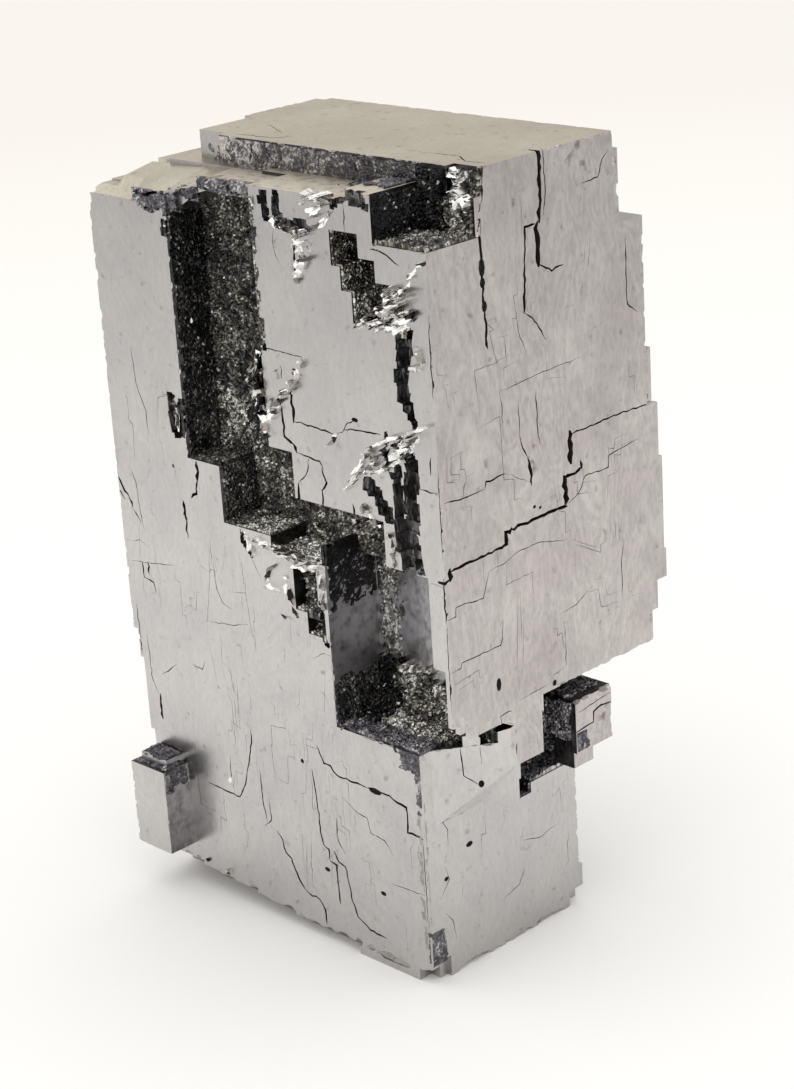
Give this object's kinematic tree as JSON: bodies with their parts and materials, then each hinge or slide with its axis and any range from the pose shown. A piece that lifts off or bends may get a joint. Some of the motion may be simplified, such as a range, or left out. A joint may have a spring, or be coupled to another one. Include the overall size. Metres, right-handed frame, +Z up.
{
  "type": "bismuth hopper crystal",
  "caption": "Upright silver-grey hopper crystal: one rectangular block with a raised top slab, stepped hollows down one face and a set-back foot.",
  "frame": {"origin": "middle of the object's box, on the base", "axes": "+Z up through the crystal's longest side; the face with the stair of hollows looks along -Y, the face with the stepped crack looks along +X"},
  "size_m": [0.0466, 0.0354, 0.0808],
  "materials": {
    "bismuth": "bright native metal, silver-grey with a faint warm tint, mirror-like on its flat faces and granular in its hollows"
  },
  "bodies": {
    "root": {"crystal": "bismuth"}
  },
  "joints": []
}
